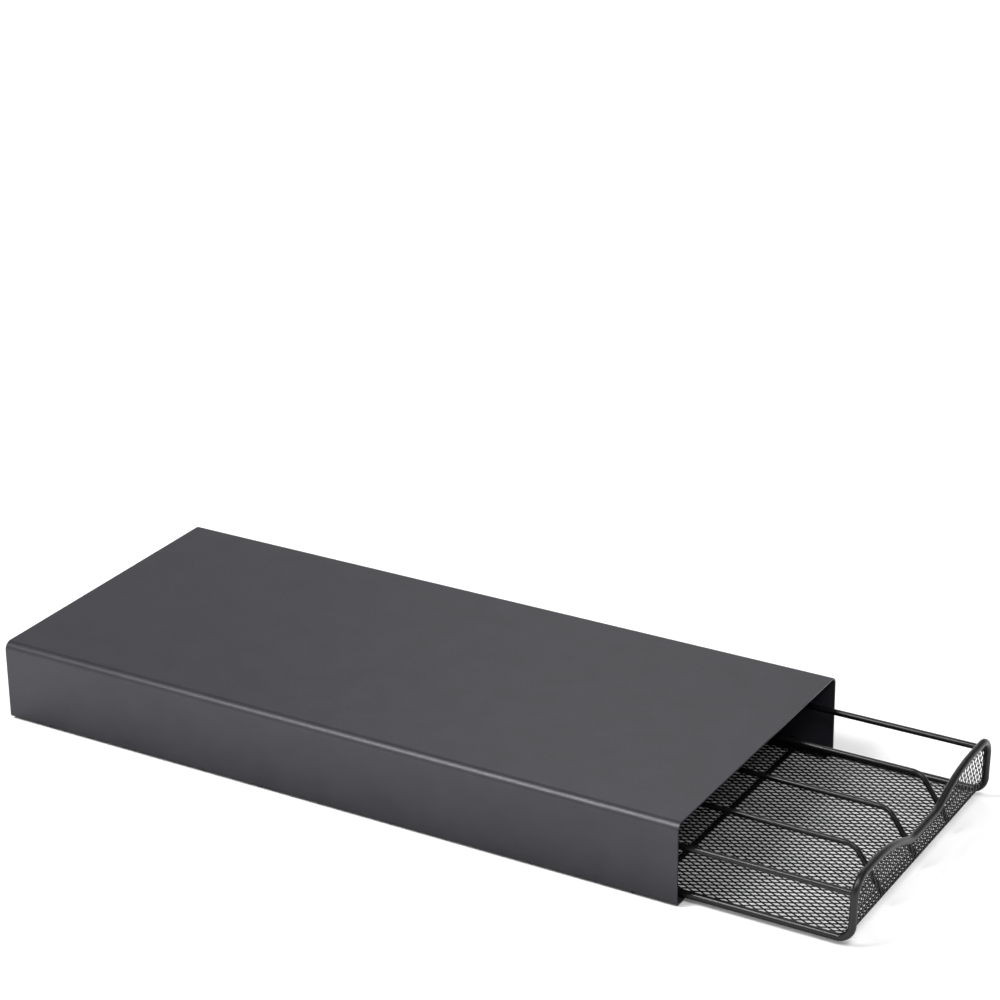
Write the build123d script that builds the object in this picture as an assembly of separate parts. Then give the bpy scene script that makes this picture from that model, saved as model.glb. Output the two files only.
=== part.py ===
"""Low steel stand with a slide-out wire and mesh drawer for coffee pods.

Millimetres, +Z up, +Y to the back. The drawer slides out towards -Y and is drawn
pulled out by pull_out. The origin lies on the counter, under the middle of the
whole part as drawn.
"""

from build123d import *
import os
from math import cos, radians, sin, tan

# ---- housing: one bent steel sheet on four thin pads ----
housing_width = 178.0
housing_depth = 400.0
housing_height = 44.0       # from the underside of the runners to the deck
sheet = 1.0
deck_bend = 4.5             # outer radius of the two long top bends
runner_bend = 2.0           # outer radius of the two long bottom bends
runner_width = 9.0          # inward flange that the drawer slides on
panel_flange = 12.0         # depth of the back panel's welded flanges
panel_bend = 1.8            # outer radius round the back panel

foot_height = 1.0
foot_diameter = 6.0
foot_from_side = 5.0
foot_from_end = 25.0
foot_edge = 0.25            # chamfer of the pad's lower rim

# ---- drawer: round rods, wires and expanded metal, welded together ----
pull_out = 89.0             # how far the drawer stands open as drawn
slide_gap = 0.3             # rod to runner
side_play = 4.7             # side rod to the housing's side wall
closed_gap = 0.5            # rear rod to the back panel with the drawer closed
rod = 3.8                   # frame rod
rail = 3.2                  # guard rail and rear posts
divider_wire = 2.8
cross_wire = 2.4
net = 0.6                   # sheet of the expanded metal

front_lean = 1.6            # degrees, the front leans out
front_bend = 8.0            # centre-line radius between floor and front
front_corner = 9.5          # centre-line radius of the two upper corners
front_clearance = 6.5       # top of the rim to the deck's underside
dip_drop = 10.9             # how far the rim dips in the middle
dip_half = 16.4             # middle of the dip to the foot of its slope
dip_slope_run = 23.8        # foot of the slope to its crest
dip_radius = 24.0
crest_radius = 90.0

rail_rise = 24.5            # guard rail above the side rods, on centres
rail_inset = 1.1            # guard rail inside the side rods, on centres
rail_corner = 12.0
post_inset = 16.0           # rear posts inside the guard rail's sides

lane_pitch = 40.0
divider_rise = 25.1         # top run of a divider above the side rods
divider_shoulder = 17.8     # upper corner of a divider behind the front
divider_slope = 56.0        # degrees, the sloping ends of a divider
divider_bend = 9.0

cross_wires = ("front", "middle", "rear")
cross_wire_gap = 0.6        # end of a cross wire to the edge of the runner

net_border = 3.0            # solid edge of the nets, from the rods' centre lines
front_cell = (3.45, 6.6)    # diamond of the front net, across and up
front_strand = 0.9
floor_cell = (13.9, 27.6)   # diamond of the floor net, across and along
floor_strand = 1.9

# ---- places that follow from the sizes ----
housing_middle = pull_out / 2
housing_front = housing_middle - housing_depth / 2
housing_rear = housing_middle + housing_depth / 2
housing_base = foot_height
housing_top = housing_base + housing_height
wall_inside = housing_width / 2 - sheet
runner_top = housing_base + sheet
runner_edge = housing_width / 2 - runner_width
deck_inside = housing_top - sheet

rod_x = wall_inside - side_play - rod / 2
rod_z = runner_top + slide_gap + rod / 2
rear_y = housing_rear - sheet - closed_gap - pull_out - rod / 2
crest_z = deck_inside - front_clearance - rod / 2
dip_z = crest_z - dip_drop
crest_y = housing_front - pull_out + rod / 2


def front_y(z):
    """Centre plane of the leaning front at height z."""
    return crest_y + tan(radians(front_lean)) * (crest_z - z)


base_y = front_y(rod_z)
front_plane = Plane(
    origin=(0, base_y, rod_z),
    x_dir=(1, 0, 0),
    z_dir=(0, -cos(radians(front_lean)), -sin(radians(front_lean))),
)
fold_tangent = front_bend * tan(radians(90 - front_lean) / 2)
rail_x = rod_x - rail_inset
rail_z = rod_z + rail_rise


def swept(path, diameter):
    """Round rod along a path."""
    start = Plane(origin=path @ 0, z_dir=path % 0)
    return sweep(start * Circle(diameter / 2), path=path)


def bar_x(half_length, y, z, diameter):
    """Round bar across the part."""
    place = Plane(origin=(-half_length, y, z), z_dir=(1, 0, 0))
    return extrude(place * Circle(diameter / 2), amount=2 * half_length)


# ---- housing ----
def housing_outline(inset):
    """Rounded outline of the housing's cross section, moved inwards by inset."""
    outline = Rectangle(housing_width - 2 * inset, housing_height - 2 * inset)
    for group, outer_radius in ((0, runner_bend), (-1, deck_bend)):
        if outer_radius > inset:
            corners = outline.vertices().group_by(Axis.Y)[group]
            outline = fillet(corners, radius=outer_radius - inset)
    return outline


def on_housing_end(sketch, y):
    """Stand a cross section up at depth y, facing the front."""
    middle = (0, y, housing_base + housing_height / 2)
    return Plane(origin=middle, x_dir=(1, 0, 0), z_dir=(0, -1, 0)) * sketch


def housing_shell():
    slot = Pos(0, -housing_height / 2) * Rectangle(2 * runner_edge, housing_height)
    section = housing_outline(0) - housing_outline(sheet) - slot
    return extrude(on_housing_end(section, housing_rear), amount=housing_depth)


def back_panel():
    """Pan with flanges up both sides and along the top, open at the bottom."""
    pan = extrude(on_housing_end(housing_outline(sheet), housing_rear), amount=panel_flange)
    rear_edges = pan.edges().group_by(Axis.Y)[-1]
    pan = fillet(rear_edges, radius=panel_bend)
    open_bottom = Pos(0, -housing_height / 2) * Rectangle(2 * (wall_inside - sheet), housing_height)
    pocket = housing_outline(2 * sheet) + open_bottom
    hollow = on_housing_end(pocket, housing_rear - sheet)
    return pan - extrude(hollow, amount=panel_flange)


def foot(side, end):
    """Round pad under a runner: side -1 left, +1 right; end -1 front, +1 rear."""
    pad = Cylinder(foot_diameter / 2, foot_height, align=(Align.CENTER, Align.CENTER, Align.MIN))
    pad = chamfer(pad.edges().group_by(Axis.Z)[0], foot_edge)
    x = side * (housing_width / 2 - foot_from_side)
    y = housing_middle + end * (housing_depth / 2 - foot_from_end)
    return Pos(x, y, 0) * pad


# ---- drawer frame ----
rim_points = [
    (-rod_x, crest_z),
    (-dip_half - dip_slope_run, crest_z),
    (-dip_half, dip_z),
    (dip_half, dip_z),
    (dip_half + dip_slope_run, crest_z),
    (rod_x, crest_z),
]
rim_radii = [front_corner, crest_radius, dip_radius, dip_radius, crest_radius, front_corner]


def frame_rod():
    """Side rods, front corners and wavy rim, bent from one length."""
    side_end = rear_y + rod / 2
    points = [(-rod_x, side_end, rod_z), (-rod_x, base_y, rod_z)]
    points += [(x, front_y(z), z) for x, z in rim_points]
    points += [(rod_x, base_y, rod_z), (rod_x, side_end, rod_z)]
    path = FilletPolyline(*points, radius=[front_bend] + rim_radii + [front_bend])
    return swept(path, rod)


def rear_rod(frame):
    return bar_x(rod_x, rear_y, rod_z, rod) - frame


def upper_rails(frame, front_net):
    """Guard rail butted on the front legs, parted where its two rear corners start."""
    leg_y = front_y(rail_z)
    points = [(-rail_x, leg_y), (-rail_x, rear_y), (rail_x, rear_y), (rail_x, leg_y)]
    path = FilletPolyline(*[(x, y, rail_z) for x, y in points], radius=rail_corner)
    whole = swept(path, rail) - frame - front_net
    seam = Plane(origin=(0, rear_y - rail_corner, 0), z_dir=(0, 1, 0))
    left, right = split(whole, bisect_by=seam, keep=Keep.BOTTOM).solids().sort_by(Axis.X)
    rear = split(whole, bisect_by=seam, keep=Keep.TOP)
    return {"upper_rail_left": left, "upper_rail_right": right, "upper_rail_rear": rear}


def rear_post(side, lower, upper):
    start = Plane(origin=(side * (rail_x - post_inset), rear_y, rod_z))
    return extrude(start * Circle(rail / 2), amount=rail_rise) - lower - upper


# ---- expanded metal ----
def diamonds(cell, strand, width, length, keep):
    """Staggered diamond holes, centred on a width by length field."""
    across, along = cell
    side_distance = across * along / (across**2 + along**2) ** 0.5
    shrink = 1 - strand / side_distance
    half_u, half_v = shrink * across / 2, shrink * along / 2
    columns, rows = int(width / across), int(length / along)
    holes = []
    for row in range(1 - 2 * rows, 2 * rows):
        for column in range(1 - 2 * columns, 2 * columns):
            u, v = column * across / 2, row * along / 2
            tips = [(u + half_u, v), (u, v + half_v), (u - half_u, v), (u, v - half_v)]
            inside = abs(u) + half_u <= width / 2 and abs(v) + half_v <= length / 2
            if (row + column) % 2 == 0 and inside and keep(tips):
                holes.append(Wire.make_polygon([Vector(*tip) for tip in tips]))
    return holes


def holed_net(outline, holes, place):
    """Sheet of the net's thickness with its middle on the given plane."""
    face = Face(outline.outer_wire(), holes)
    return extrude(place * face, amount=net / 2, both=True)


def fold_line(offset, y_start, z_end):
    """Line from the floor round the fold and up the front, moved inwards by offset."""
    lean = radians(front_lean)
    floor_z = rod_z + offset

    def moved(z):
        return front_y(z) + offset / cos(lean)

    points = [(y_start, floor_z), (moved(floor_z), floor_z), (moved(z_end), z_end)]
    return FilletPolyline(*points, radius=front_bend - offset)


def front_mesh(frame):
    """Net behind the wavy rim, with the plain fold down to the floor."""
    rise = 1 / cos(radians(front_lean))
    rim = [(x, (z - rod_z) * rise) for x, z in rim_points]
    top = rim[0][1]

    def outline(bottom):
        ends = [(-rod_x, bottom), (rod_x, bottom)]
        border = FilletPolyline(ends[0], *rim, ends[1], radius=rim_radii)
        return make_face(border + Line(ends[1], ends[0])).face()

    holed_area = offset(outline(fold_tangent - net_border), amount=-net_border).face()
    middle = (fold_tangent + top) / 2

    def keep(tips):
        return all(holed_area.is_inside((u, v + middle, 0)) for u, v in tips)

    size = (2 * (rod_x - net_border), top - fold_tangent)
    holes = diamonds(front_cell, front_strand, *size, keep)
    holes = [hole.translate((0, middle, 0)) for hole in holes]
    net_part = holed_net(outline(fold_tangent), holes, front_plane)

    bend = fold_line(0, rear_y, crest_z).edges().filter_by(GeomType.CIRCLE)[0]
    fold = extrude(Plane.YZ * trace(bend, net), amount=rod_x, both=True)
    return net_part + fold - frame


def floor_mesh(frame, rear):
    """Net from the fold to the rear rod, held between the side rods."""
    front_end = base_y + fold_tangent
    length = rear_y - front_end
    middle = Plane(origin=(0, (rear_y + front_end) / 2, rod_z))
    outline = Rectangle(2 * rod_x, length).face()
    size = (2 * (rod_x - net_border), length - 2 * net_border)
    holes = diamonds(floor_cell, floor_strand, *size, lambda tips: True)
    return holed_net(outline, holes, middle) - frame - rear


def cross_wire_bar(index):
    """Stiffening wire under the floor, spaced evenly along the net."""
    front_end = base_y + fold_tangent
    pitch = (rear_y - front_end) / (len(cross_wires) + 1)
    z = rod_z - net / 2 - cross_wire / 2
    return bar_x(runner_edge - cross_wire_gap, front_end + index * pitch, z, cross_wire)


# ---- lane dividers ----
def tray_inside():
    """The space above the floor net and behind the front net."""
    surface = fold_line(net / 2, rear_y, crest_z)
    closing = Polyline(surface @ 1, (rear_y, crest_z), surface @ 0)
    return extrude(Plane.YZ * make_face(surface + closing), amount=rod_x, both=True)


def divider(x, inside):
    """Wire between two lanes, both ends sloping down onto the net."""
    top = rod_z + divider_rise
    below = rod_z - net
    run_out = (top - below) / tan(radians(divider_slope))
    front_corner_y = base_y + divider_shoulder
    rear_corner_y = rear_y - rod - divider_shoulder
    points = [
        (x, front_corner_y - run_out, below),
        (x, front_corner_y, top),
        (x, rear_corner_y, top),
        (x, rear_corner_y + run_out, below),
    ]
    return swept(FilletPolyline(*points, radius=divider_bend), divider_wire) & inside


def build():
    """Every piece by name."""
    pieces = {"housing_shell": housing_shell(), "back_panel": back_panel()}
    for end_name, end in (("front", -1), ("rear", 1)):
        for side_name, side in (("left", -1), ("right", 1)):
            pieces[f"foot_{end_name}_{side_name}"] = foot(side, end)

    frame = frame_rod()
    rear = rear_rod(frame)
    front_net = front_mesh(frame)
    rails = upper_rails(frame, front_net)
    pieces.update(frame_rod=frame, rear_rod=rear, **rails)
    for side_name, side in (("left", -1), ("right", 1)):
        pieces[f"rear_post_{side_name}"] = rear_post(side, rear, rails["upper_rail_rear"])

    pieces["front_mesh"] = front_net
    pieces["floor_mesh"] = floor_mesh(frame, rear)
    for index, name in enumerate(cross_wires, start=1):
        pieces[f"cross_wire_{name}"] = cross_wire_bar(index)

    inside = tray_inside()
    for lane_edge, name in ((-1, "left"), (0, "middle"), (1, "right")):
        pieces[f"divider_{name}"] = divider(lane_edge * lane_pitch, inside)
    return pieces


os.makedirs("parts", exist_ok=True)
for node, piece in build().items():
    export_step(piece, f"parts/{node}.step")
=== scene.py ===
"""Looks of the coffee pod drawer: a powder-coated steel stand over a wire and mesh drawer.

Metres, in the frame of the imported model: +Z up, the drawer opens towards -Y.
"""

from math import ceil, cos, pi, radians, sin, tan

import bpy
from mathutils import Matrix, Vector


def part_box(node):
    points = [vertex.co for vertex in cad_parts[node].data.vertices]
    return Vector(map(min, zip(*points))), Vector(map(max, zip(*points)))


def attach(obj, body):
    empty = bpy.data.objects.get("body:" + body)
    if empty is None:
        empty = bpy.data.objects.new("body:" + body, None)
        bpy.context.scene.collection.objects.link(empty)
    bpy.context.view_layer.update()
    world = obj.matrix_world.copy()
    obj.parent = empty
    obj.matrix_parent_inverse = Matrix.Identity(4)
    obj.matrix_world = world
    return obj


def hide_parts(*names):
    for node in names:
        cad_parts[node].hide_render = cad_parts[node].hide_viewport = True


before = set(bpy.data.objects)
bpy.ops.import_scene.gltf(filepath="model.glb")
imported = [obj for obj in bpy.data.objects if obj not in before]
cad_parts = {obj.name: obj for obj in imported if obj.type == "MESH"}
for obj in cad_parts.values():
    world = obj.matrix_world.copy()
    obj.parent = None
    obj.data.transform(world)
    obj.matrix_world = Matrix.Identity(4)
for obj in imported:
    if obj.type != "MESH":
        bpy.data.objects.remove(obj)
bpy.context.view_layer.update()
scene = bpy.context.scene
MM = 0.001

# ---- the photograph's view ----
CAMERA_PLACE = Vector((-1173.4, -701.0, 730.5)) * MM
CAMERA_AZIMUTH = -59.456    # degrees round the object; 0 looks along +Y
CAMERA_ELEVATION = 23.213
CAMERA_ROLL = -0.677
CAMERA_LENS = 106.723       # lens and square sensor in millimetres
CAMERA_SENSOR = 36
CAMERA_CLIP = 0.05, 50

# ---- sheet metal ----
SHEET = 1.0 * MM
DECK_BEND = 4.5 * MM        # outer radius of the two long top bends
RUNNER_BEND = 2.0 * MM
RUNNER_WIDTH = 9.0 * MM
PANEL_BEND = 1.8 * MM       # outer radius round the back panel
CUT_EDGE = 0.14 * MM        # easing of the sheet's cut edges

# ---- drawer rods, on their centre lines ----
FRONT_BEND = 8.0 * MM
FRONT_CORNER = 9.5 * MM
CREST_RADIUS = 90.0 * MM
DIP_RADIUS = 24.0 * MM
RAIL_CORNER = 12.0 * MM
DIVIDER_BEND = 9.0 * MM
FRONT_LEAN = radians(1.6)   # from upright, forwards at the top
DIP_DROP = 10.9 * MM        # the rim's dip, below its crests
DIP_HALF = 16.4 * MM        # half the width of the dip's bottom, before rounding
DIP_SLOPE_RUN = 23.8 * MM   # from there out to a crest
CREST_PLACE = 0.7           # share of the way out to a leg that lies on the crest
DIVIDER_SLOPE = radians(56)
DIVIDER_SHOULDER = 17.8 * MM    # upper corners behind the front and ahead of the rear
ROD_END = 0.35 * MM         # easing of the rods' cut ends

# ---- expanded metal, one sheet in the middle plane of the rods ----
CELL_ACROSS = 3.45 * MM     # diamond across the drawer
CELL_ALONG = 6.6 * MM       # diamond along the floor and up the front
STRAND = 0.68 * MM
NET_SHEET = 0.28 * MM
STRAND_TILT = 0.05 * MM     # how far a strand's two edges stand off the middle plane

# ---- fineness of the meshes ----
ARC_TURN = radians(6)       # turn of a rounded corner from station to station, at most
RIM_TURN = radians(3)       # the same, where the net follows the rim
ARC_STEPS = 3               # in a rounded corner, at least
ROD_SIDES = 20
BAR_STEPS = 8               # along a straight rod
PANEL_STEPS = 6             # round the back panel's bend
SHARP = radians(40)         # edges that turn more than this aren't smoothed
EASED = radians(50)         # edges that turn more than this are rounded
EDGE_STEPS = 2              # across a rounded edge

# ---- places, from the frame ----
frame_low, frame_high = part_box("frame_rod")
rear_low, rear_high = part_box("rear_rod")
rod = rear_high.z - rear_low.z
rod_x = frame_high.x - rod / 2
rod_z = frame_low.z + rod / 2
rear_y = frame_high.y - rod / 2
crest_y = frame_low.y + rod / 2
crest_z = frame_high.z - rod / 2
dip_z = crest_z - DIP_DROP


def front_y(z):
    """Centre plane of the leaning front at height z."""
    return crest_y + tan(FRONT_LEAN) * (crest_z - z)


base_y = front_y(rod_z)
fold_angle = pi / 2 - FRONT_LEAN
fold_reach = FRONT_BEND * tan(fold_angle / 2)
fold_run = FRONT_BEND * fold_angle
floor_run = rear_y - base_y - fold_reach

rim_corners = [
    (-rod_x, crest_z),
    (-DIP_HALF - DIP_SLOPE_RUN, crest_z),
    (-DIP_HALF, dip_z),
    (DIP_HALF, dip_z),
    (DIP_HALF + DIP_SLOPE_RUN, crest_z),
    (rod_x, crest_z),
]
rim_radii = [FRONT_CORNER, CREST_RADIUS, DIP_RADIUS, DIP_RADIUS, CREST_RADIUS, FRONT_CORNER]


# ---- camera, first ----
def add_camera():
    azimuth, elevation = radians(CAMERA_AZIMUTH), radians(CAMERA_ELEVATION)
    roll = radians(CAMERA_ROLL)
    back = Vector((
        sin(azimuth) * cos(elevation), -cos(azimuth) * cos(elevation), sin(elevation)
    ))
    level = Vector((cos(azimuth), sin(azimuth), 0))
    upright = back.cross(level)
    right = level * cos(roll) + upright * sin(roll)
    up = upright * cos(roll) - level * sin(roll)
    turn = Matrix((right, up, back)).transposed()

    data = bpy.data.cameras.new("photo_view")
    data.sensor_width = CAMERA_SENSOR
    data.lens = CAMERA_LENS
    data.clip_start, data.clip_end = CAMERA_CLIP
    camera = bpy.data.objects.new("photo_view", data)
    camera.matrix_world = Matrix.Translation(CAMERA_PLACE) @ turn.to_4x4()
    scene.collection.objects.link(camera)
    scene.camera = camera


add_camera()


# ---- node helpers ----
def new_material(name):
    """A new material, with its nodes, links and main shader."""
    material = bpy.data.materials.new(name)
    material.use_nodes = True
    nodes, links = material.node_tree.nodes, material.node_tree.links
    return material, nodes, links, nodes["Principled BSDF"]


def noise(nodes, links, size, detail):
    """Noise fixed to the object, its blobs of the given size in metres."""
    place = nodes.new("ShaderNodeTexCoord")
    texture = nodes.new("ShaderNodeTexNoise")
    texture.inputs["Scale"].default_value = 1 / size
    texture.inputs["Detail"].default_value = detail
    links.new(place.outputs["Object"], texture.inputs["Vector"])
    return texture.outputs["Fac"]


def remap(nodes, links, value, source, target):
    """A value mapped from one range to another, and held inside it."""
    node = nodes.new("ShaderNodeMapRange")
    limits = zip(("From Min", "From Max", "To Min", "To Max"), (*source, *target))
    for name, limit in limits:
        node.inputs[name].default_value = limit
    links.new(value, node.inputs["Value"])
    return node.outputs["Result"]


def ramp(nodes, links, value, stops):
    """The colour at a value between two stops, each a position and a linear colour."""
    node = nodes.new("ShaderNodeValToRGB")
    for element, (position, colour) in zip(node.color_ramp.elements, stops):
        element.position = position
        element.color = (*colour, 1)
    links.new(value, node.inputs["Fac"])
    return node.outputs["Color"]


def combine(nodes, links, operation, first, second):
    """Two values put together by a Math operation."""
    node = nodes.new("ShaderNodeMath")
    node.operation = operation
    links.new(first, node.inputs[0])
    links.new(second, node.inputs[1])
    return node.outputs["Value"]


# ---- materials ----
MOTTLE_SPREAD = 0.07        # share of the colour, either way
MOTTLE_DETAIL = 4
GLOSS_SPREAD = 0.04         # of roughness, either way
PEEL_DETAIL = 2
PEEL_STRENGTH = 0.5
NOISE_SPAN = 0.3, 0.7       # the part of the noise's range that is used


def linear(srgb):
    """Linear colour of an sRGB colour written 0 to 255."""
    values = [v / 255 for v in srgb]
    return [v / 12.92 if v <= 0.04045 else ((v + 0.055) / 1.055) ** 2.4 for v in values]


def powder_coat(name, colour, roughness, shine, grain, peel, depth):
    """A baked paint or the like: a faint mottle, uneven gloss and an orange-peel surface.

    grain is the mottle's size, peel the orange peel's and depth its height, in metres.
    """
    material, nodes, links, shader = new_material(name)
    shader.inputs["Specular IOR Level"].default_value = shine

    shares = 1 - MOTTLE_SPREAD, 1 + MOTTLE_SPREAD
    tones = [linear([v * share for v in colour]) for share in shares]
    mottle = noise(nodes, links, grain, MOTTLE_DETAIL)
    tint = ramp(nodes, links, mottle, zip(NOISE_SPAN, tones))
    links.new(tint, shader.inputs["Base Color"])

    orange_peel = noise(nodes, links, peel, PEEL_DETAIL)
    spread = roughness - GLOSS_SPREAD, roughness + GLOSS_SPREAD
    gloss = remap(nodes, links, orange_peel, NOISE_SPAN, spread)
    links.new(gloss, shader.inputs["Roughness"])

    bump = nodes.new("ShaderNodeBump")
    bump.inputs["Strength"].default_value = PEEL_STRENGTH
    bump.inputs["Distance"].default_value = depth
    links.new(orange_peel, bump.inputs["Height"])
    links.new(bump.outputs["Normal"], shader.inputs["Normal"])
    return material


coat_housing = powder_coat("satin_charcoal_coat", (37, 36, 42), roughness=0.39, shine=0.5,
                           grain=14 * MM, peel=1.1 * MM, depth=0.03 * MM)
coat_rod = powder_coat("satin_black_rod_coat", (9, 9, 10), roughness=0.30, shine=0.42,
                       grain=9 * MM, peel=0.9 * MM, depth=0.015 * MM)
coat_net = powder_coat("satin_black_net_coat", (7, 7, 8), roughness=0.40, shine=0.18,
                       grain=6 * MM, peel=0.7 * MM, depth=0.015 * MM)
pad_rubber = powder_coat("matt_rubber", (22, 22, 22), roughness=0.72, shine=0.3,
                         grain=3 * MM, peel=0.4 * MM, depth=0.03 * MM)


# ---- mesh helpers ----
def rounded(points, radii, turn=ARC_TURN):
    """The line through points, with its inner corners rounded."""
    path = [points[0]]
    for before, corner, after, radius in zip(points, points[1:], points[2:], radii):
        back, ahead = (before - corner).normalized(), (after - corner).normalized()
        angle = pi - back.angle(ahead)
        reach = radius * tan(angle / 2)
        centre = corner + (back + ahead).normalized() * (radius / cos(angle / 2))
        start = (corner + back * reach - centre).normalized()
        end = (corner + ahead * reach - centre).normalized()
        steps = max(ARC_STEPS, ceil(angle / turn))
        path += [centre + start.slerp(end, k / steps) * radius for k in range(steps + 1)]
    path.append(points[-1])
    return path


def piece(name, points, faces, material, body, replaced):
    """A new mesh piece, smooth but for its sharp edges."""
    mesh = bpy.data.meshes.new(name)
    mesh.from_pydata([tuple(p) for p in points], [], faces)
    mesh.polygons.foreach_set("use_smooth", [True] * len(mesh.polygons))
    mesh.set_sharp_from_angle(angle=SHARP)
    mesh.materials.append(material)
    made = bpy.data.objects.new(name, mesh)
    scene.collection.objects.link(made)
    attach(made, body)
    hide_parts(*replaced)
    return made


def tube(path, diameter):
    """Points and faces of a round rod along a path, its two cut ends eased."""
    first, last = path[1] - path[0], path[-1] - path[-2]
    stations = [path[0], path[0] + first.normalized() * ROD_END, *path[1:-1]]
    stations += [path[-1] - last.normalized() * ROD_END, path[-1]]
    radii = [diameter / 2] * len(stations)
    radii[0] = radii[-1] = diameter / 2 - ROD_END

    points, side = [], first.orthogonal().normalized()
    for k, (station, radius) in enumerate(zip(stations, radii)):
        before, after = stations[max(k - 1, 0)], stations[min(k + 1, len(stations) - 1)]
        along = (after - before).normalized()
        side = (side - along * side.dot(along)).normalized()
        across = along.cross(side)
        for n in range(ROD_SIDES):
            angle = 2 * pi * n / ROD_SIDES
            points.append(station + radius * (side * cos(angle) + across * sin(angle)))

    faces = []
    for k in range(len(stations) - 1):
        for n in range(ROD_SIDES):
            a, b = k * ROD_SIDES + n, k * ROD_SIDES + (n + 1) % ROD_SIDES
            faces.append((a, b, b + ROD_SIDES, a + ROD_SIDES))
    faces.append(tuple(reversed(range(ROD_SIDES))))
    faces.append(tuple(range(len(points) - ROD_SIDES, len(points))))
    return points, faces


def rod_piece(name, path, diameter, replaced):
    points, faces = tube(path, diameter)
    piece(name, points, faces, coat_rod, "drawer", replaced)


def ease_edges(made):
    """Round the sharp edges a little, and keep the flat faces flat in the light."""
    bevel = made.modifiers.new("eased_edges", "BEVEL")
    bevel.width = CUT_EDGE
    bevel.segments = EDGE_STEPS
    bevel.limit_method = "ANGLE"
    bevel.angle_limit = EASED
    weighted = made.modifiers.new("flat_normals", "WEIGHTED_NORMAL")
    weighted.keep_sharp = True


# ---- housing ----
def housing_section(low, high, inset):
    """Section of the bent sheet at one of its two skins, from runner edge to runner edge."""
    left, right = low.x + inset, high.x - inset
    bottom, top = low.z + inset, high.z - inset
    edge = high.x - RUNNER_WIDTH
    corners = [
        (-edge, bottom), (left, bottom), (left, top),
        (right, top), (right, bottom), (edge, bottom),
    ]
    radii = [RUNNER_BEND, DECK_BEND, DECK_BEND, RUNNER_BEND]
    line = [Vector((x, 0, z)) for x, z in corners]
    return rounded(line, [radius - inset for radius in radii])


def housing_shell():
    """Deck, side walls and runners, bent from one sheet and open in front."""
    low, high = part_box("housing_shell")
    outer, inner = (housing_section(low, high, inset) for inset in (0, SHEET))
    count = len(outer)
    ring = outer + inner[::-1]
    points = [Vector((p.x, y, p.z)) for y in (low.y, high.y) for p in ring]
    total = len(ring)
    faces = []
    for n in range(total):
        m = (n + 1) % total
        faces.append((n, m, m + total, n + total))
    for n in range(count - 1):
        opposite = total - 1 - n
        faces.append((n + 1, n, opposite, opposite - 1))
        faces.append((n + total, n + 1 + total, opposite - 1 + total, opposite + total))
    made = piece("bent_housing", points, faces, coat_housing, "housing",
                 ["housing_shell"])
    ease_edges(made)


def back_panel():
    """The pan in the rear end: rounded rim, flanges up both sides and along the top."""
    low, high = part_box("back_panel")
    turns = [(k / PANEL_STEPS) * pi / 2 for k in range(PANEL_STEPS + 1)]
    depths = [(low.y, 0)]
    depths += [(high.y - PANEL_BEND * (1 - sin(t)), PANEL_BEND * (1 - cos(t))) for t in turns]
    rings = []
    for y, inset in depths:
        left, right = low.x + inset, high.x - inset
        bottom, top = low.z + inset, high.z - inset
        corner = DECK_BEND - SHEET - inset
        line = [(left, bottom), (left, top), (right, top), (right, bottom)]
        line = [Vector((x, y, z)) for x, z in line]
        rings.append(rounded(line, [corner, corner]))
    count = len(rings[0])
    points = [p for ring in rings for p in ring]
    faces = []
    for k in range(len(rings) - 1):
        for n in range(count - 1):
            a = k * count + n
            faces.append((a, a + 1, a + count + 1, a + count))
    faces.append(tuple(range((len(rings) - 1) * count, len(rings) * count)))
    made = piece("pressed_back_panel", points, faces, coat_housing, "housing",
                 ["back_panel"])
    thick = made.modifiers.new("sheet", "SOLIDIFY")
    thick.thickness = SHEET
    thick.offset = -1
    ease_edges(made)


# ---- drawer frame ----
def rim_line():
    """Side rods, front legs and wavy rim in one line, from rear left to rear right."""
    side_end = rear_y + rod / 2
    corners = [Vector((-rod_x, side_end, rod_z)), Vector((-rod_x, base_y, rod_z))]
    corners += [Vector((x, front_y(z), z)) for x, z in rim_corners]
    corners += [Vector((rod_x, base_y, rod_z)), Vector((rod_x, side_end, rod_z))]
    return rounded(corners, [FRONT_BEND, *rim_radii, FRONT_BEND])


def bar(start, end):
    """A straight line with enough stations for an even mesh."""
    return [start.lerp(end, k / BAR_STEPS) for k in range(BAR_STEPS + 1)]


def drawer_frame():
    """The bent rod round sides and front, and the straight one that closes the rear."""
    rod_piece("bent_frame_rod", rim_line(), rod, ["frame_rod"])
    ends = [Vector((x, rear_y, rod_z)) for x in (-rod_x, rod_x)]
    rod_piece("rear_cross_rod", bar(*ends), rod, ["rear_rod"])


def guard_rail():
    """One bent wire round sides and rear, butted on the front legs, and its two posts."""
    low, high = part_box("upper_rail_left")
    rail = high.z - low.z
    height = (low.z + high.z) / 2
    side = -(low.x + rail / 2)
    front = front_y(height)
    corners = [(-side, front), (-side, rear_y), (side, rear_y), (side, front)]
    line = [Vector((x, y, height)) for x, y in corners]
    rod_piece("bent_guard_rail", rounded(line, [RAIL_CORNER] * 2), rail,
              ["upper_rail_left", "upper_rail_right", "upper_rail_rear"])

    for name in ("left", "right"):
        low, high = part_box(f"rear_post_{name}")
        x = (low.x + high.x) / 2
        ends = Vector((x, rear_y, rod_z)), Vector((x, rear_y, height))
        rod_piece(f"welded_post_{name}", bar(*ends), rail, [f"rear_post_{name}"])


def meets_fold(corner, slope):
    """Where a wire sloping forward from a corner reaches the upper side of the fold."""
    centre = Vector((corner.x, rear_y - floor_run, rod_z + FRONT_BEND))
    reach = FRONT_BEND - NET_SHEET / 2
    away = corner - centre
    half = away.dot(slope)
    return corner + slope * (-half + (half**2 - away.length_squared + reach**2) ** 0.5)


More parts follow.
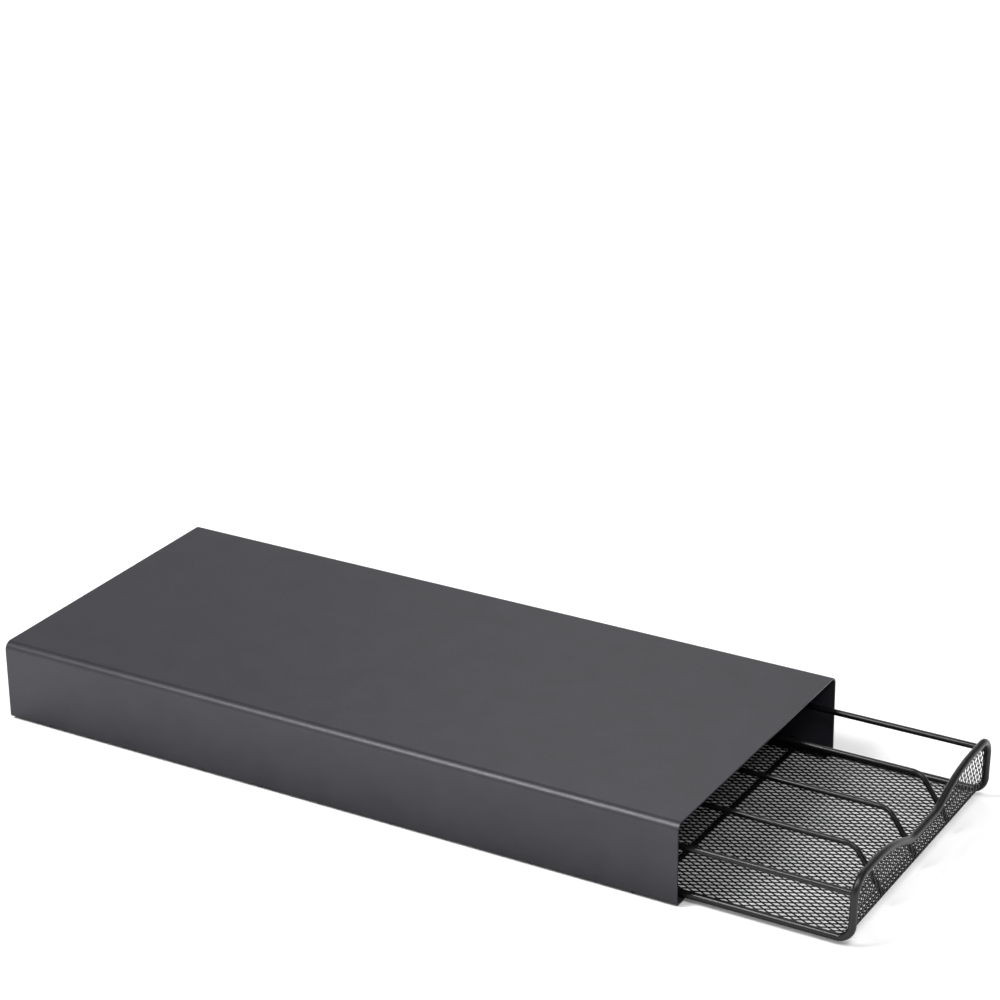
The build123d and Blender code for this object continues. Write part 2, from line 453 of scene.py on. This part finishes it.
def dividers():
    """Wires between the lanes, both ends sloping down onto the net."""
    for name in ("left", "middle", "right"):
        low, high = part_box(f"divider_{name}")
        wire = high.x - low.x
        x, top = (low.x + high.x) / 2, high.z - wire / 2
        front = Vector((x, base_y + DIVIDER_SHOULDER, top))
        rear = Vector((x, rear_y - rod - DIVIDER_SHOULDER, top))
        drop = top - rod_z
        slope = Vector((0, -cos(DIVIDER_SLOPE), -sin(DIVIDER_SLOPE)))
        front_end = meets_fold(front, slope)
        rear_end = rear + Vector((0, drop / tan(DIVIDER_SLOPE), -drop))
        line = rounded([front_end, front, rear, rear_end], [DIVIDER_BEND] * 2)
        rod_piece(f"lane_wire_{name}", line, wire, [f"divider_{name}"])


def cross_wires():
    """Stiffening wires under the floor of the net."""
    for name in ("front", "middle", "rear"):
        low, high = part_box(f"cross_wire_{name}")
        y, z = (low.y + high.y) / 2, (low.z + high.z) / 2
        ends = Vector((low.x, y, z)), Vector((high.x, y, z))
        rod_piece(f"stiffener_{name}", bar(*ends), high.z - low.z, [f"cross_wire_{name}"])


# ---- expanded metal ----
def on_sheet(u, v, lift):
    """Point of the folded sheet: u across, v from the rear rod forward, lift inwards."""
    if v <= floor_run:
        return Vector((u, rear_y - v, rod_z + lift))
    centre = Vector((0, rear_y - floor_run, rod_z + FRONT_BEND))
    angle = min((v - floor_run) / FRONT_BEND, fold_angle)
    spoke = Vector((0, -sin(angle), -cos(angle)))
    rise = Vector((0, -cos(angle), sin(angle)))
    beyond = max(0, v - floor_run - fold_run)
    place = centre + spoke * (FRONT_BEND - lift) + rise * beyond
    return Vector((u, place.y, place.z))


def sheet_top():
    """Function giving the sheet's length v at the rim's centre line, by place across."""
    line = [Vector((x, 0, z)) for x, z in [(-rod_x, rod_z), *rim_corners, (rod_x, rod_z)]]
    rim = [(p.x, p.z) for p in rounded(line, rim_radii, RIM_TURN)[1:-1]]
    start = floor_run + fold_run - fold_reach

    def top(u):
        for (x0, z0), (x1, z1) in zip(rim, rim[1:]):
            if x0 <= u <= x1 and x1 > x0:
                z = z0 + (z1 - z0) * (u - x0) / (x1 - x0)
                return start + (z - rod_z) / cos(FRONT_LEAN)
        return start + (rim[0][1] - rod_z) / cos(FRONT_LEAN)

    return top


def expanded_metal():
    """The folded sheet of staggered diamonds, its edges ending inside the rods.

    Each hole has four tips; strands join neighbouring holes, and knuckles lie between
    four of them. A strand's edges stand a little off the sheet, one up and one down.
    """
    slant = CELL_ACROSS * CELL_ALONG / (CELL_ACROSS**2 + CELL_ALONG**2) ** 0.5
    shrink = 1 - STRAND / slant
    half_u, half_v = shrink * CELL_ACROSS / 2, shrink * CELL_ALONG / 2
    tips = [
        (half_u, 0, -STRAND_TILT), (0, half_v, 0), (-half_u, 0, STRAND_TILT), (0, -half_v, 0)
    ]
    top = sheet_top()
    columns = ceil(rod_x / (CELL_ACROSS / 2)) + 1
    rows = ceil(top(-rod_x * CREST_PLACE) / (CELL_ALONG / 2)) + 1

    points, faces, holes = [], [], {}
    for i in range(-columns, columns + 1):
        for j in range(-1, rows + 1):
            if (i + j) % 2:
                continue
            u, v = i * CELL_ACROSS / 2, j * CELL_ALONG / 2
            ring, inside = [], 0
            for tip_u, tip_v, lift in tips:
                x = max(-rod_x, min(rod_x, u + tip_u))
                limit = top(x)
                y = max(0, min(limit, v + tip_v))
                inside += (x, y) == (u + tip_u, v + tip_v)
                ring.append((x, y, lift))
            if not inside:
                continue
            holes[i, j] = len(points)
            for half in (NET_SHEET / 2, -NET_SHEET / 2):
                points += [on_sheet(x, y, lift + half) for x, y, lift in ring]

    right, upper, left, lower = range(4)

    def skin(*corners):
        """A face on the upper skin and its partner below, between tips of holes."""
        if all(hole in holes for hole, tip in corners):
            faces.append([holes[hole] + tip for hole, tip in corners])
            faces.append([holes[hole] + tip + 4 for hole, tip in reversed(corners)])

    for i, j in holes:
        here, above = (i, j), (i, j + 2)
        to_left, to_right = (i - 1, j + 1), (i + 1, j + 1)
        skin((here, right), (to_right, lower), (to_right, left), (here, upper))
        skin((here, upper), (to_left, right), (to_left, lower), (here, left))
        skin((here, upper), (to_right, left), (above, lower), (to_left, right))
        for n in range(4):
            a, b = holes[here] + n, holes[here] + (n + 1) % 4
            faces.append((b, a, a + 4, b + 4))
    piece("expanded_metal", points, faces, coat_net, "drawer",
          ["front_mesh", "floor_mesh"])


housing_shell()
back_panel()
drawer_frame()
guard_rail()
dividers()
cross_wires()
expanded_metal()

for end in ("front", "rear"):
    for side in ("left", "right"):
        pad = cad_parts[f"foot_{end}_{side}"]
        pad.data.materials.clear()
        pad.data.materials.append(pad_rubber)


# ---- studio ----
FLOOR_SIZE = 9.0
FLOOR_COLOUR = (246, 246, 246)
FLOOR_ROUGHNESS = 0.9
FLOOR_SHINE = 0.1
FLOOR_LIFT = 0.42           # keeps the floor white to the eye away from the lamps
LIFT_SPAN = 0.35, 1.8       # from the middle, where the lift begins and where it is full
CONTACT_REACH = 0.12        # how far from the object its shade shows in reflections
CONTACT_SHADE = 1.7         # the shade is full where 1 / this of the sky is covered
CONTACT_SAMPLES = 4
SKY = 0.64                  # light that the room gives to dull surfaces
CEILING = 0.26              # what shiny surfaces see high up, where the wall is 1
WALL_TOP = radians(4)       # height over the horizon where the white wall ends
CEILING_EDGE = radians(26)  # and where the ceiling's grey is reached


def seen(nodes, links):
    """1 for what the camera sees directly, in a reflection or through glass."""
    path = nodes.new("ShaderNodeLightPath")
    value = path.outputs["Is Camera Ray"]
    for ray in ("Is Glossy Ray", "Is Transmission Ray"):
        value = combine(nodes, links, "MAXIMUM", value, path.outputs[ray])
    return value


def white_room():
    """White round the horizon, with a greyer ceiling in reflections."""
    world = bpy.data.worlds.new("white_room")
    world.use_nodes = True
    nodes, links = world.node_tree.nodes, world.node_tree.links
    background = nodes["Background"]
    background.inputs["Color"].default_value = (1, 1, 1, 1)
    place = nodes.new("ShaderNodeTexCoord")
    split = nodes.new("ShaderNodeSeparateXYZ")
    links.new(place.outputs["Generated"], split.inputs["Vector"])
    heights = sin(WALL_TOP), sin(CEILING_EDGE)
    wall = remap(nodes, links, split.outputs["Z"], heights, (1, CEILING))
    strength = remap(nodes, links, seen(nodes, links), (0, 1), (SKY, 1))
    links.new(wall, strength.node.inputs["To Max"])
    links.new(strength, background.inputs["Strength"])
    scene.world = world


def contact_shade(nodes, links):
    """The floor's colour, darker close to the object where reflections show it."""
    open_sky = nodes.new("ShaderNodeAmbientOcclusion")
    open_sky.samples = CONTACT_SAMPLES
    open_sky.inputs["Distance"].default_value = CONTACT_REACH
    span = 1, 1 - 1 / CONTACT_SHADE
    covered = remap(nodes, links, open_sky.outputs["AO"], span, (0, 1))
    path = nodes.new("ShaderNodeLightPath")
    share = combine(nodes, links, "MULTIPLY", covered, path.outputs["Is Glossy Ray"])
    return ramp(nodes, links, share, [(0, linear(FLOOR_COLOUR)), (1, (0, 0, 0))])


def pale_floor():
    """White ground that keeps the object's shadow and is lifted to white far from it."""
    material, nodes, links, shader = new_material("pale_floor")
    shader.inputs["Roughness"].default_value = FLOOR_ROUGHNESS
    shader.inputs["Specular IOR Level"].default_value = FLOOR_SHINE
    shader.inputs["Emission Color"].default_value = (1, 1, 1, 1)
    place = nodes.new("ShaderNodeTexCoord")
    distance = nodes.new("ShaderNodeVectorMath")
    distance.operation = "LENGTH"
    links.new(place.outputs["Object"], distance.inputs[0])
    far = remap(nodes, links, distance.outputs["Value"], LIFT_SPAN, (0, FLOOR_LIFT))
    lift = combine(nodes, links, "MULTIPLY", far, seen(nodes, links))
    links.new(lift, shader.inputs["Emission Strength"])
    links.new(contact_shade(nodes, links), shader.inputs["Base Color"])

    half = FLOOR_SIZE / 2
    corners = [(-half, -half, 0), (half, -half, 0), (half, half, 0), (-half, half, 0)]
    mesh = bpy.data.meshes.new("pale_floor")
    mesh.from_pydata(corners, [], [(0, 1, 2, 3)])
    mesh.materials.append(material)
    floor = bpy.data.objects.new("pale_floor", mesh)
    scene.collection.objects.link(floor)


def soft_box(name, place, aim, size, power):
    """Area lamp at a place, turned to its aim, with its width and height as size."""
    lamp = bpy.data.lights.new(name, "AREA")
    lamp.shape = "RECTANGLE"
    lamp.size, lamp.size_y = size
    lamp.energy = power
    made = bpy.data.objects.new(name, lamp)
    made.location = place
    made.rotation_euler = (Vector(aim) - Vector(place)).to_track_quat("-Z", "Y").to_euler()
    scene.collection.objects.link(made)


white_room()
pale_floor()
soft_box("overhead", place=(0.3, -0.5, 2.0), aim=(0, 0, 0), size=(1.6, 1.6), power=3)
soft_box("back_right", place=(1.45, 0.60, 1.45), aim=(0, 0, 0), size=(0.8, 0.8), power=3)
soft_box("side_panel", place=(-0.80, 0.54, 1.27), aim=(0, 0, 0.05),
         size=(0.42, 0.85), power=20)
soft_box("front_left", place=(-0.65, -0.70, 1.12), aim=(-0.09, -0.2, 0.03),
         size=(0.45, 0.45), power=8)

scene.view_settings.view_transform = "Standard"
